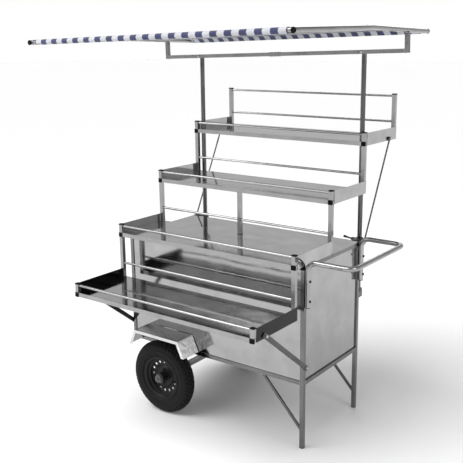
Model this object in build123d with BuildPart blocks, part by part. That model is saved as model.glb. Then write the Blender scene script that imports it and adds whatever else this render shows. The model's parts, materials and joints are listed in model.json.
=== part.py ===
from build123d import *
from math import radians, sin
import os

# Push vending cart: a stainless tube frame with a mirror-sheet cabinet, four display trays that
# climb towards the back, a striped canopy on two telescoping poles, a push handle, and two wheels.
# Millimetres. X runs along the cart (handle at +X), Y across it (customers at -Y), Z up from the floor.

# ---- stock ----
TUBE = 20.0           # square tube, outside
WALL = 1.2            # its wall
SHEET = 1.5           # folded stainless sheet
WELD = 0.3            # gap left between welded pieces
HALF = TUBE / 2

# ---- cabinet ----
HALF_W = 546.0        # centre line of the corner posts, along X
HALF_D = 264.0        # centre line of the corner posts, along Y
FLOOR_RAIL = 342.0    # centre height of the bottom rails
TOP_RAIL = 918.0      # centre height of the top rails, which lie on the posts
TABLE = TOP_RAIL + HALF + WELD + SHEET     # top of the work table
FOOT = 4.0            # plug under each leg
IN_W = HALF_W - HALF
IN_D = HALF_D - HALF

# ---- trays ----
TRAY_STEP_Y = 326.0   # each tray starts where the one below it ends
TRAY_STEP_Z = 246.0
TRAY_1_Y = -345.0     # front post line of the tray that lies on the table
TRAY_1_Z = TABLE + WELD + HALF
TRAY_Y = [TRAY_1_Y + TRAY_STEP_Y * (n - 1) for n in range(4)]
TRAY_Z = [TRAY_1_Z + TRAY_STEP_Z * (n - 1) for n in range(4)]
REAR_Y = TRAY_Y[3] + 336.0                 # rear posts of the top tray
TRAY_END = [TRAY_Y[1], TRAY_Y[2], TRAY_Y[3], REAR_Y]
SIDE_UP = 55.0        # top of a side sheet above its tube's centre
POST_UP = 56.0        # top of a front corner post above its tube's centre
RAIL_D = 12.7         # round guard rail
RAIL_WALL = 1.0
GUARD_UP = 47.0       # front guard rail above the tube's centre
BACK_UP = 90.0        # back rail above the tube's centre
REAR_TOP = 229.0      # top of the rear posts above the top tray's tube
CAP = 3.0             # plastic end cap
CAP_HALF = 11.6       # half width of a square cap
SKIRT = 2.2           # how far a post cap reaches down its post
POST_FOOT = 12.0      # half width of the foot under the centre post

# ---- wheels ----
AXLE_X = -267.0
AXLE_Z = 198.0
TYRE_R = 198.0
TYRE_W = 84.0
WHEEL_Y = 352.0       # middle plane of a wheel
RIM_R = 104.0         # bead seat of the rim
DISC_Y = 2.0          # rim disc, outboard of the middle plane
BEAM = 25.0           # square axle beam
SPINDLE_R = 10.0
HUB_R = 26.0
FENDER_TOP = 437.0
FENDER_LOW = 351.0
FENDER_X = [-474.0, -437.0, -131.0, -91.0]
FENDER_OUT = 396.0

# ---- handle, canopy ----
PIPE = 25.0           # round pipe of handle and poles
PIPE_WALL = 1.5
HANDLE_X = HALF_W + HALF + WELD + PIPE / 2
GRIP_X = 803.0
GRIP_Z = 950.0
HANDLE_FOOT = 729.0
BEND = 45.0
HANDLE_BOLTS = [760.0, 857.0]
POLE_X = 520.0
POLE_Y = 333.0
POLE_HOLE_R = 14.5    # clearance holes for the poles in the top tray
POLE_LOW = 620.0
CROSS_Y = POLE_Y - PIPE / 2 - HALF - WELD  # the crossbar is bolted to the front of the poles
CROSS_Z = 1874.0      # centre of the crossbar
TILT = 1.45           # degrees: the right pole is set higher than the left one
CANOPY_W = 760.0      # centre line of the side pipes
CANOPY_FRONT = -696.0
CANOPY_BACK = 540.0
CANOPY_RIDGE = -39.0
CANOPY_Z = 1965.0     # side pipes at both ends
RIDGE_UP = 14.0
CANOPY_PIPE = 22.0
CLOTH = 2.0
CLOTH_W = 728.0       # half width of the canopy cloth
CLAMP_TOP = 920.0
CLAMP_MID = 755.0
CLAMP_LOW = 640.0

# The frame's origin lies on the floor, under the middle of the whole cart's outline.
MID_X = (GRIP_X + PIPE / 2 - CANOPY_W - CANOPY_PIPE / 2 - 1) / 2
MID_Y = (REAR_Y + HALF + CAP + CANOPY_FRONT - 5) / 2

os.makedirs("parts", exist_ok=True)


def block(x, y, z):
    """Box between two corners, each axis given as (low, high)."""
    with Locations(((x[0] + x[1]) / 2, (y[0] + y[1]) / 2, (z[0] + z[1]) / 2)):
        Box(x[1] - x[0], y[1] - y[0], z[1] - z[0])


def square_tube(start, end, side=TUBE, wall=WALL, depth=None):
    """Hollow tube between two points; depth is its second side."""
    run = Vector(*end) - Vector(*start)
    deep = depth or side
    with BuildSketch(Plane(origin=start, x_dir=tube_side(run), z_dir=run)) as section:
        Rectangle(side, deep)
        Rectangle(side - 2 * wall, deep - 2 * wall, mode=Mode.SUBTRACT)
    extrude(section.sketch, amount=run.length)


def tube_side(run):
    """Direction of a tube's first side: along X, or along Y for a tube that runs in X."""
    return (0, 1, 0) if abs(run.X) > abs(run.Y) + abs(run.Z) else (1, 0, 0)


def round_tube(start, end, dia, wall):
    run = Vector(*end) - Vector(*start)
    with BuildSketch(Plane(origin=start, z_dir=run)) as section:
        Circle(dia / 2)
        Circle(dia / 2 - wall, mode=Mode.SUBTRACT)
    extrude(section.sketch, amount=run.length)


def rod(start, end, dia):
    run = Vector(*end) - Vector(*start)
    with BuildSketch(Plane(origin=start, z_dir=run)) as section:
        Circle(dia / 2)
    extrude(section.sketch, amount=run.length)


def hex_rod(start, end, across):
    run = Vector(*end) - Vector(*start)
    with BuildSketch(Plane(origin=start, z_dir=run)) as section:
        RegularPolygon(across / 2, 6, major_radius=False)
    extrude(section.sketch, amount=run.length)


def bolt(x, y, z, side, shank, head, grip):
    """Bolt along X: hexagon head outside, shank going grip deep into the part."""
    rod((x - side * grip, y, z), (x, y, z), shank)
    hex_rod((x, y, z), (x + side * head * 0.45, y, z), head)


def save(part, name, tilt=0.0):
    turned = part.rotate(Axis((0, 0, CROSS_Z), (0, 1, 0)), -tilt) if tilt else part
    placed = turned.moved(Location((-MID_X, -MID_Y, 0)))
    placed.label = name
    export_step(placed, f"parts/{name}.step")


# ======================================================================== cabinet frame
with BuildPart() as cart_frame:
    for y in (-HALF_D, HALF_D):
        square_tube((HALF_W, y, FOOT), (HALF_W, y, TOP_RAIL - HALF - WELD))
        square_tube((-HALF_W, y, FLOOR_RAIL - HALF), (-HALF_W, y, TOP_RAIL - HALF - WELD))
        for z in (FLOOR_RAIL, TOP_RAIL):
            square_tube((-IN_W + WELD, y, z), (IN_W - WELD, y, z))
    for x in (-HALF_W, HALF_W):
        square_tube((x, -IN_D + WELD, FLOOR_RAIL), (x, IN_D - WELD, FLOOR_RAIL))
        square_tube((x, -HALF_D - HALF, TOP_RAIL), (x, HALF_D + HALF, TOP_RAIL))
    for x in (AXLE_X - 70, AXLE_X + 70, 200.0):
        square_tube((x, -IN_D + WELD, FLOOR_RAIL), (x, IN_D - WELD, FLOOR_RAIL))
save(cart_frame.part, "cart_frame")

# Diagonal braces between the bottom rails and the two legs.
with BuildPart() as leg_braces:
    for y in (-HALF_D, HALF_D):
        high = (317.0, y, FLOOR_RAIL - HALF)
        low = (IN_W, y, 100.0)
        with BuildSketch(Plane.XZ.offset(-y)) as outline:
            with BuildLine():
                Polyline(
                    (high[0] - 9, high[2] - WELD),
                    (high[0] + 9, high[2] - WELD),
                    (low[0] - WELD, low[2] + 9),
                    (low[0] - WELD, low[2] - 9),
                    close=True,
                )
            make_face()
        extrude(outline.sketch, amount=5, both=True)
save(leg_braces.part, "leg_braces")

with BuildPart() as leg_feet:
    for y in (-HALF_D, HALF_D):
        block((HALF_W - HALF, HALF_W + HALF), (y - HALF, y + HALF), (0, FOOT - 0.1))
        block((HALF_W - 8.6, HALF_W + 8.6), (y - 8.6, y + 8.6), (FOOT - 0.2, 25))
    fillet(leg_feet.edges().group_by(Axis.Z)[0], 1.5)
save(leg_feet.part, "leg_feet")

# ======================================================================== sheets of the cabinet
PANEL_Z = (FLOOR_RAIL + HALF + WELD, TOP_RAIL - HALF - WELD)

with BuildPart() as front_panel:
    block((-IN_W + WELD, IN_W - WELD), (-HALF_D - 6, -HALF_D - 6 + SHEET), PANEL_Z)
save(front_panel.part, "front_panel")

with BuildPart() as left_panel:
    block((-HALF_W - 3, -HALF_W - 3 + SHEET), (-IN_D + WELD, IN_D - WELD), PANEL_Z)
save(left_panel.part, "left_panel")

with BuildPart() as right_panel:
    block((HALF_W + 3 - SHEET, HALF_W + 3), (-IN_D + WELD, IN_D - WELD), PANEL_Z)
save(right_panel.part, "right_panel")

with BuildPart() as floor_panel:
    floor_z = (FLOOR_RAIL + HALF + WELD, FLOOR_RAIL + HALF + WELD + SHEET)
    block((-IN_W + WELD, IN_W - WELD), (-IN_D - 5, IN_D - WELD), floor_z)
save(floor_panel.part, "floor_panel")

with BuildPart() as table_top:
    block((-HALF_W - HALF, HALF_W + HALF), (-HALF_D - HALF, HALF_D + HALF), (TABLE - SHEET, TABLE))
save(table_top.part, "table_top")

# ======================================================================== sliding rear doors
DOOR_T = 6.0
DOOR_Y = [HALF_D - 4.9, HALF_D + 4.9]      # the two running planes
DOOR_LOW = PANEL_Z[0] + SHEET + WELD
DOOR_OVERLAP = 12.0
DOOR_EDGE = IN_W - 2.0
DOOR_SKIN = 1.0
PULL_R = 20.0
PULL_Z = 640.0

with BuildPart() as door_tracks:
    for base, lip in ((DOOR_LOW, 1), (PANEL_Z[1], -1)):
        low, high = sorted((base, base + lip * SHEET))
        block((-IN_W + WELD, IN_W - WELD), (IN_D + WELD, HALF_D + HALF), (low, high))
        for y in (IN_D + WELD, HALF_D - 0.6, HALF_D + HALF - 1.2):
            low, high = sorted((base, base + lip * 12))
            block((-IN_W + WELD, IN_W - WELD), (y, y + 1.2), (low, high))
save(door_tracks.part, "door_tracks")

DOOR_Z = (DOOR_LOW + SHEET + 0.6, PANEL_Z[1] - SHEET - 1.0)


def door_leaf(x, y, pull_x):
    """Shallow folded pan with a round recessed pull; y is the door's middle plane."""
    outer = y + DOOR_T / 2
    block(x, (y - DOOR_T / 2, outer), DOOR_Z)
    with Locations(((x[0] + x[1]) / 2, y - DOOR_SKIN, (DOOR_Z[0] + DOOR_Z[1]) / 2)):
        Box(x[1] - x[0] - 2 * DOOR_SKIN, DOOR_T, DOOR_Z[1] - DOOR_Z[0] - 2 * DOOR_SKIN, mode=Mode.SUBTRACT)
    with Locations(Plane(origin=(pull_x, outer - 2.7, PULL_Z), z_dir=(0, 1, 0))):
        Cylinder(PULL_R + DOOR_SKIN, 5.4)
    with Locations(Plane(origin=(pull_x, outer, PULL_Z), z_dir=(0, 1, 0))):
        Cylinder(PULL_R, 8.8, mode=Mode.SUBTRACT)


with BuildPart() as rear_door_left:
    door_leaf((-DOOR_EDGE, DOOR_OVERLAP), DOOR_Y[0], -DOOR_EDGE + 40)
save(rear_door_left.part, "rear_door_left")

with BuildPart() as rear_door_right:
    door_leaf((-DOOR_OVERLAP, DOOR_EDGE), DOOR_Y[1], DOOR_EDGE - 40)
save(rear_door_right.part, "rear_door_right")

# ======================================================================== display trays
for n in range(4):
    y0, y1, z = TRAY_Y[n], TRAY_END[n], TRAY_Z[n]
    # Tray 1 lies on the table, so its side tubes stop at the posts that stand behind it.
    side_end = y1 - HALF - WELD if n == 1 else y1 + HALF
    with BuildPart() as tray_frame:
        for x in (-HALF_W, HALF_W):
            square_tube((x, y0 - HALF, z), (x, side_end, z))
            square_tube((x, y0, z + HALF + WELD), (x, y0, z + POST_UP))
        for y in (y0, y1):
            square_tube((-IN_W + WELD, y, z), (IN_W - WELD, y, z))
    save(tray_frame.part, f"tray_{n}_frame")

    floor = (z + HALF + WELD, z + HALF + WELD + SHEET)
    with BuildPart() as tray_floor:
        block((-HALF_W - 9, HALF_W + 9), (y0 + HALF + WELD, y1 - HALF - WELD), floor)
        block((-IN_W + WELD, IN_W - WELD), (y0 - HALF, y1 + HALF), floor)
        if n == 1:
            with Locations((0, TRAY_Y[2], floor[0])):
                Box(2 * POST_FOOT + 0.8, 2 * POST_FOOT + 0.8, 10, mode=Mode.SUBTRACT)
        if n == 3:
            with Locations((-POLE_X, POLE_Y, floor[0]), (POLE_X, POLE_Y, floor[0])):
                Cylinder(POLE_HOLE_R, 10, mode=Mode.SUBTRACT)
    save(tray_floor.part, f"tray_{n}_floor")

with BuildPart() as tray_sides:
    for n in range(4):
        side_end = TRAY_END[n] - HALF - WELD if n == 1 else TRAY_END[n] + HALF
        for side in (-1, 1):
            face = sorted((side * (HALF_W + HALF + WELD), side * (HALF_W + HALF + WELD + SHEET)))
            block(face, (TRAY_Y[n] + HALF + WELD, side_end), (TRAY_Z[n] - HALF, TRAY_Z[n] + SIDE_UP))
save(tray_sides.part, "tray_sides")

with BuildPart() as front_guard_rails:
    for n in range(4):
        z = TRAY_Z[n] + GUARD_UP
        round_tube((-IN_W + WELD, TRAY_Y[n], z), (IN_W - WELD, TRAY_Y[n], z), RAIL_D, RAIL_WALL)
save(front_guard_rails.part, "front_guard_rails")

# Square posts from the back of each tray up to the front of the next one.
with BuildPart() as riser_posts:
    for n in (1, 2, 3):
        foot = TABLE + WELD if n == 2 else TRAY_Z[n - 1] + HALF + WELD
        for x in (-HALF_W, HALF_W):
            square_tube((x, TRAY_Y[n], foot), (x, TRAY_Y[n], TRAY_Z[n] - HALF - WELD))
save(riser_posts.part, "riser_posts")

with BuildPart() as back_rails:
    for n in (0, 2):
        z = TRAY_Z[n] + BACK_UP
        round_tube((-IN_W + WELD, TRAY_END[n], z), (IN_W - WELD, TRAY_END[n], z), RAIL_D, RAIL_WALL)
    # The centre post interrupts the rail behind tray 1.
    z = TRAY_Z[1] + BACK_UP
    for side in (-1, 1):
        inner = (side * (HALF + WELD), TRAY_END[1], z)
        round_tube(inner, (side * (IN_W - WELD), TRAY_END[1], z), RAIL_D, RAIL_WALL)
save(back_rails.part, "back_rails")

with BuildPart() as rear_guard:
    z = TRAY_Z[3]
    for x in (-HALF_W, HALF_W):
        square_tube((x, REAR_Y, z + HALF + WELD), (x, REAR_Y, z + REAR_TOP))
    for up in (BACK_UP - 6, REAR_TOP - 9):
        round_tube((-IN_W + WELD, REAR_Y, z + up), (IN_W - WELD, REAR_Y, z + up), RAIL_D, RAIL_WALL)
save(rear_guard.part, "rear_guard")

with BuildPart() as centre_post:
    foot = TRAY_Z[1] + HALF + WELD
    square_tube((0, TRAY_Y[2], foot + CAP + WELD), (0, TRAY_Y[2], TRAY_Z[2] - HALF - WELD))
save(centre_post.part, "centre_post")

# Black plastic caps on every open tube end; the ones in view overlap the tube a little.
with BuildPart() as tube_caps:
    posts = [(TRAY_Y[n], TRAY_Z[n] + POST_UP) for n in range(4)] + [(REAR_Y, TRAY_Z[3] + REAR_TOP)]
    fronts = [(TRAY_Y[n] - HALF, TRAY_Z[n]) for n in range(4)]
    table_front = -HALF_D - HALF
    for x in (-HALF_W, HALF_W):
        wide = (x - CAP_HALF, x + CAP_HALF)
        for y, top in posts:
            block(wide, (y - CAP_HALF, y + HALF), (top + 0.1, top + CAP))
        for front, z in fronts:
            block(wide, (front - CAP, front - 0.1), (z - CAP_HALF, z + CAP_HALF))
        for n in (0, 2, 3):
            back = TRAY_END[n] + HALF
            block((x - HALF, x + HALF), (back + 0.1, back + CAP), (TRAY_Z[n] - HALF, TRAY_Z[n] + HALF))
        rail_end = (table_front - CAP, table_front - 0.1)
        block((x - HALF, x + HALF), rail_end, (TOP_RAIL - HALF, TOP_RAIL + HALF))
    for y in (-HALF_D, HALF_D):
        under = FLOOR_RAIL - HALF
        block((-HALF_W - HALF, -IN_W), (y - HALF, y + HALF), (under - CAP, under - 0.1))
    foot = TRAY_Z[1] + HALF + WELD
    block((-POST_FOOT, POST_FOOT), (TRAY_Y[2] - POST_FOOT, TRAY_Y[2] + POST_FOOT), (foot, foot + CAP))
    fillet(tube_caps.edges(), 0.8)
    for side in (-1, 1):
        skirt = sorted((side * (HALF_W + HALF + WELD), side * (HALF_W + CAP_HALF)))
        inner = sorted((side * (HALF_W - CAP_HALF), side * (IN_W - WELD)))
        wide = (side * HALF_W - CAP_HALF, side * HALF_W + CAP_HALF)
        for y, top in posts:
            low_high = (top - SKIRT, top + 1)
            block(skirt, (y - CAP_HALF, y + HALF), low_high)
            block(inner, (y - CAP_HALF, y + HALF), low_high)
            block(wide, (y - CAP_HALF, y - HALF - WELD), low_high)
        for front, z in fronts:
            block(skirt, (front - 1, front + 6), (z - HALF, z + HALF))
    for y in (-HALF_D, HALF_D):
        rod((HANDLE_X, y, HANDLE_FOOT - CAP), (HANDLE_X, y, HANDLE_FOOT - 0.1), PIPE)
save(tube_caps.part, "tube_caps")

# Struts under the lowest tray, bolted to its sides and to the front posts.
STRUT_X = HALF_W + HALF + 2 * WELD + SHEET
STRUT_T = 10.0
STRUT_D = 22.0
STRUT_HIGH = (-600.0, TRAY_Z[0])
STRUT_LOW = (-HALF_D, 425.0)
REACH = 14.0

with BuildPart() as tray_struts:
    run = Vector(STRUT_LOW[0] - STRUT_HIGH[0], STRUT_LOW[1] - STRUT_HIGH[1]).normalized()
    for side in (-1, 1):
        x = side * (STRUT_X + STRUT_T / 2)
        start = (x, STRUT_HIGH[0] - run.X * REACH, STRUT_HIGH[1] - run.Y * REACH)
        end = (x, STRUT_LOW[0] + run.X * REACH, STRUT_LOW[1] + run.Y * REACH)
        square_tube(start, end, side=STRUT_T, depth=STRUT_D)
        for y, z in (STRUT_HIGH, STRUT_LOW):
            with Locations(Plane(origin=(x, y, z), z_dir=(1, 0, 0))):
                Cylinder(3.2, 30, mode=Mode.SUBTRACT)
save(tray_struts.part, "tray_struts")

with BuildPart() as strut_bolts:
    for side in (-1, 1):
        for y, z in (STRUT_HIGH, STRUT_LOW):
            face = STRUT_X + STRUT_T + 0.1
            rod((side * face, y, z), (side * (face + 1.5), y, z), 14)
            hex_rod((side * (face + 1.4), y, z), (side * (face + 6), y, z), 10)
            rod((side * (STRUT_X - 0.1 if z > 500 else HALF_W + HALF + 0.1), y, z), (side * face, y, z), 6)
save(strut_bolts.part, "strut_bolts")

# Thin stay rods from the top tray down to the rear clamps.
STAY_X = STRUT_X + 5.0
STAY_HIGH = (564.0, TRAY_Z[3])
STAY_LOW = (300.0, CLAMP_TOP - 3)
STAY_D = 9.0
STAY_EYE = 8.5        # where the rod starts, from the centre of its eye

with BuildPart() as stay_rods:
    run = Vector(STAY_LOW[0] - STAY_HIGH[0], STAY_LOW[1] - STAY_HIGH[1]).normalized()
    for side in (-1, 1):
        x = side * STAY_X
        start = (x, STAY_HIGH[0] + run.X * STAY_EYE, STAY_HIGH[1] + run.Y * STAY_EYE)
        end = (x, STAY_LOW[0] - run.X * STAY_EYE, STAY_LOW[1] - run.Y * STAY_EYE)
        rod(start, end, STAY_D)
        for y, z in (STAY_HIGH, STAY_LOW):
            with Locations(Plane(origin=(x, y, z), z_dir=(1, 0, 0))):
                Cylinder(11, 7)
                Cylinder(4.4, 12, mode=Mode.SUBTRACT)
save(stay_rods.part, "stay_rods")

with BuildPart() as stay_bolts:
    for side in (-1, 1):
        for y, z in (STAY_HIGH, STAY_LOW):
            inner = HALF_W + HALF + WELD + (SHEET if z > 1000 else 0) + 0.1
            bolt(side * (STAY_X + 3.7), y, z, side, 8, 13, STAY_X + 3.7 - inner)
save(stay_bolts.part, "stay_bolts")

# ======================================================================== axle and fenders
with BuildPart() as axle:
    square_tube((AXLE_X, -300, AXLE_Z), (AXLE_X, 300, AXLE_Z), side=BEAM, wall=2.5)
    for side in (-1, 1):
        rod((AXLE_X, side * 280, AXLE_Z), (AXLE_X, side * 300.2, AXLE_Z), 2 * SPINDLE_R + 0.02)
        rod((AXLE_X, side * 300, AXLE_Z), (AXLE_X, side * 397, AXLE_Z), 2 * SPINDLE_R)
        rod((AXLE_X, side * 300, AXLE_Z), (AXLE_X, side * 305, AXLE_Z), 27)
        hex_rod((AXLE_X, side * 391.6, AXLE_Z), (AXLE_X, side * 399.5, AXLE_Z), 26)
save(axle.part, "axle")

# Gusset plates that hang the axle beam under the bottom rails.
with BuildPart() as axle_hangers:
    for side in (-1, 1):
        for y in (HALF_D - 8, HALF_D + 4):
            with BuildSketch(Plane.XZ.offset(-side * y - (4 if side > 0 else 0))) as gusset:
                with BuildLine():
                    Polyline(
                        (AXLE_X - 80, FLOOR_RAIL - HALF - WELD),
                        (AXLE_X + 80, FLOOR_RAIL - HALF - WELD),
                        (AXLE_X + 28, AXLE_Z - 20),
                        (AXLE_X - 28, AXLE_Z - 20),
                        close=True,
                    )
                make_face()
                with Locations((AXLE_X, AXLE_Z)):
                    Rectangle(BEAM + 0.4, BEAM + 0.4, mode=Mode.SUBTRACT)
            extrude(gusset.sketch, amount=4)
save(axle_hangers.part, "axle_hangers")


def fender_band(side, thick, start, end):
    """Trapezoid band over a wheel, thick inwards, between two distances from the middle of the cart."""
    left, top_left, top_right, right = FENDER_X
    slope = thick * (top_left - left) / (FENDER_TOP - FENDER_LOW)
    foot = thick * 1.1
    with BuildSketch(Plane.XZ.offset(-side * start)) as band:
        with BuildLine():
            Polyline(
                (left, FENDER_LOW),
                (top_left, FENDER_TOP),
                (top_right, FENDER_TOP),
                (right, FENDER_LOW),
                (right - foot, FENDER_LOW),
                (top_right - foot + slope, FENDER_TOP - thick),
                (top_left + foot - slope, FENDER_TOP - thick),
                (left + foot, FENDER_LOW),
                close=True,
            )
        make_face()
    extrude(band.sketch, amount=-side * (end - start))


with BuildPart() as wheel_fenders:
    for side in (-1, 1):
        fender_band(side, 2.0, HALF_D + HALF + WELD, FENDER_OUT)
        fender_band(side, 16.0, FENDER_OUT - 2, FENDER_OUT)
save(wheel_fenders.part, "wheel_fenders")

# ======================================================================== wheels
RIM_HALF = 30.0
FLANGE_R = 116.0
HOLE_RING_R = 80.0
HOLE_COUNT = 16
HOLE_R = 6.5
BEARING_R = 21.0
BEARING_W = 12.0


def wheel_plane(side):
    """Middle plane of one wheel: local z points outboard along the axle."""
    return Plane(origin=(AXLE_X, side * WHEEL_Y, AXLE_Z), x_dir=(1, 0, 0), z_dir=(0, side, 0))


def ring_profile(side, points):
    """Section of a turned part: points are (radius, outboard distance)."""
    centre = wheel_plane(side)
    section = Plane(origin=centre.origin, x_dir=(1, 0, 0), z_dir=(0, 0, side))
    with BuildSketch(section) as profile:
        with BuildLine():
            Polyline(*points, close=True)
        make_face()
    return profile.sketch


def turn(side, points, mode=Mode.ADD):
    spin = Axis((AXLE_X, side * WHEEL_Y, AXLE_Z), (0, 1, 0))
    revolve(ring_profile(side, points), axis=spin, mode=mode)


for side, name in ((-1, "front"), (1, "rear")):
    with BuildPart() as tyre:
        half = TYRE_W / 2
        outline = [
            (RIM_R + 0.3, -22), (RIM_R + 6, -26.3), (RIM_R + 13, -27), (RIM_R + 18, -31.5), (150, -half),
            (164, -half + 1.5), (175, -half + 6), (184.5, -half + 12.5), (191.5, -half + 21),
            (196.4, -half + 31), (TYRE_R, -5), (TYRE_R, 5), (196.4, half - 31), (191.5, half - 21),
            (184.5, half - 12.5), (175, half - 6), (164, half - 1.5), (150, half), (RIM_R + 18, 31.5),
            (RIM_R + 13, 27), (RIM_R + 6, 26.3), (RIM_R + 0.3, 22), (RIM_R + 0.3, 14), (RIM_R + 14, 19),
            (150, half - 8), (170, half - 11), (184, half - 25), (188, 0), (184, -half + 25),
            (170, -half + 11), (150, -half + 8), (RIM_R + 14, -19), (RIM_R + 0.3, -14),
        ]
        turn(side, outline)
    save(tyre.part, f"{name}_tyre")

    with BuildPart() as rim:
        lip = RIM_HALF
        turn(side, [
            (RIM_R, -lip + 8), (RIM_R + 4, -lip + 2.2), (FLANGE_R, -lip + 1.5), (FLANGE_R, -lip), (RIM_R + 2, -lip),
            (RIM_R - 3, -lip + 7), (RIM_R - 3, -12), (88, -6), (88, 12), (RIM_R - 3, 18), (RIM_R - 3, lip - 7),
            (RIM_R + 2, lip), (FLANGE_R, lip), (FLANGE_R, lip - 1.5), (RIM_R + 4, lip - 2.2), (RIM_R, lip - 8),
            (RIM_R, 16), (91, 10), (91, -4), (RIM_R, -10),
        ])
        turn(side, [
            (HUB_R + 0.3, DISC_Y - 1.5), (HUB_R + 0.3, DISC_Y + 1.5), (56, DISC_Y + 1.5), (62, DISC_Y - 3),
            (84, DISC_Y - 3), (88.5, DISC_Y + 1), (88.5, DISC_Y - 3), (84.5, DISC_Y - 6), (60, DISC_Y - 6),
            (54, DISC_Y - 1.5),
        ])
        with Locations(wheel_plane(side)):
            with PolarLocations(HOLE_RING_R, HOLE_COUNT):
                Cylinder(HOLE_R, 40, mode=Mode.SUBTRACT)
            with PolarLocations(38, 4):
                Cylinder(3.4, 80, mode=Mode.SUBTRACT)
        stem = wheel_plane(side).from_local_coords(Vector(94, 0, 14))
        tip = wheel_plane(side).from_local_coords(Vector(82, 0, 40))
        rod(tuple(stem), tuple(tip), 7)
    save(rim.part, f"{name}_rim")

    with BuildPart() as hub:
        turn(side, [
            (BEARING_R, -42), (HUB_R, -42), (HUB_R, DISC_Y - 7), (48, DISC_Y - 7), (48, DISC_Y - 1.7),
            (HUB_R, DISC_Y - 1.7), (HUB_R, 38), (BEARING_R, 38), (BEARING_R, 25.5), (15, 25.5), (15, -29.5),
            (BEARING_R, -29.5),
        ])
        with Locations(wheel_plane(side)):
            with PolarLocations(38, 4):
                with Locations((0, 0, DISC_Y + 4.3)):
                    Cylinder(5.5, 5)
                    Cylinder(3.0, 14)
    save(hub.part, f"{name}_hub")

    with BuildPart() as bearings:
        for low in (-42.0, 25.6):
            turn(side, [(SPINDLE_R + 0.05, low), (BEARING_R - 0.1, low),
                        (BEARING_R - 0.1, low + BEARING_W), (SPINDLE_R + 0.05, low + BEARING_W)])
    save(bearings.part, f"{name}_bearings")

    with BuildPart() as hub_cap:
        turn(side, [
            (20.6, 39), (HUB_R, 38.3), (HUB_R, 40), (23, 40.5), (22.5, 50), (19, 54), (8, 54.5), (8, 58),
            (0, 58), (0, 52), (17.5, 52), (20.5, 49),
        ])
    save(hub_cap.part, f"{name}_hub_cap")

# ======================================================================== push handle
with BuildPart() as push_handle:
    with BuildLine() as route:
        Line((HANDLE_X, -HALF_D, HANDLE_FOOT), (HANDLE_X, -HALF_D, GRIP_Z - BEND))
        TangentArc((HANDLE_X, -HALF_D, GRIP_Z - BEND), (HANDLE_X + BEND, -HALF_D, GRIP_Z), tangent=(0, 0, 1))
        Line((HANDLE_X + BEND, -HALF_D, GRIP_Z), (GRIP_X - BEND, -HALF_D, GRIP_Z))
        TangentArc((GRIP_X - BEND, -HALF_D, GRIP_Z), (GRIP_X, -HALF_D + BEND, GRIP_Z), tangent=(1, 0, 0))
        Line((GRIP_X, -HALF_D + BEND, GRIP_Z), (GRIP_X, HALF_D - BEND, GRIP_Z))
        TangentArc((GRIP_X, HALF_D - BEND, GRIP_Z), (GRIP_X - BEND, HALF_D, GRIP_Z), tangent=(0, 1, 0))
        Line((GRIP_X - BEND, HALF_D, GRIP_Z), (HANDLE_X + BEND, HALF_D, GRIP_Z))
        TangentArc((HANDLE_X + BEND, HALF_D, GRIP_Z), (HANDLE_X, HALF_D, GRIP_Z - BEND), tangent=(-1, 0, 0))
        Line((HANDLE_X, HALF_D, GRIP_Z - BEND), (HANDLE_X, HALF_D, HANDLE_FOOT))
    with BuildSketch(Plane(origin=(HANDLE_X, -HALF_D, HANDLE_FOOT), z_dir=(0, 0, 1))):
        Circle(PIPE / 2)
        Circle(PIPE / 2 - PIPE_WALL, mode=Mode.SUBTRACT)
    sweep()
save(push_handle.part, "push_handle")

with BuildPart() as handle_bolts:
    for y in (-HALF_D, HALF_D):
        for z in HANDLE_BOLTS:
            face = HANDLE_X + PIPE / 2 + 0.1
            rod((face, y, z), (face + 3, y, z), 13)
            rod((face + 2.9, y, z), (face + 4.5, y, z), 9)
save(handle_bolts.part, "handle_bolts")

# ======================================================================== canopy clamps
CLAMP_R = 21.0
CLAMP_H = 26.0
POLE_FIT = PIPE / 2 + 0.3
BACK = HALF_D + HALF + WELD
FOOT_Y = 310.0        # how far back the foot of a clamp reaches
WING = 22.4           # reach of a wing screw's wings from its axis


def clamp_body(side, z, high, barrel_r):
    """Foot on a rear post, ring round the pole, and a barrel for the screw when barrel_r is given."""
    low_high = (z - high / 2, z + high / 2)
    block(sorted((side * (POLE_X - 16), side * (HALF_W + HALF))), (BACK, FOOT_Y), low_high)
    block((side * POLE_X - 16, side * POLE_X + 16), (FOOT_Y - 1, POLE_Y), low_high)
    with Locations((side * POLE_X, POLE_Y, z)):
        Cylinder(CLAMP_R, high)
    if barrel_r:
        with Locations(Plane(origin=(side * POLE_X - 18, POLE_Y, z), z_dir=(-1, 0, 0))):
            Cylinder(barrel_r, 16)
            Cylinder(4.15, 40, mode=Mode.SUBTRACT)
    with Locations((side * POLE_X, POLE_Y, z)):
        Cylinder(POLE_FIT, high + 2, mode=Mode.SUBTRACT)


with BuildPart() as pole_upper_clamps:
    for side in (-1, 1):
        clamp_body(side, CLAMP_TOP, CLAMP_H, 8)
save(pole_upper_clamps.part, "pole_upper_clamps")

with BuildPart() as pole_guides:
    for side in (-1, 1):
        clamp_body(side, CLAMP_MID, 24, 0)
save(pole_guides.part, "pole_guides")

with BuildPart() as pole_lower_clamps:
    for side in (-1, 1):
        clamp_body(side, CLAMP_LOW, 30, 7)
save(pole_lower_clamps.part, "pole_lower_clamps")

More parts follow.
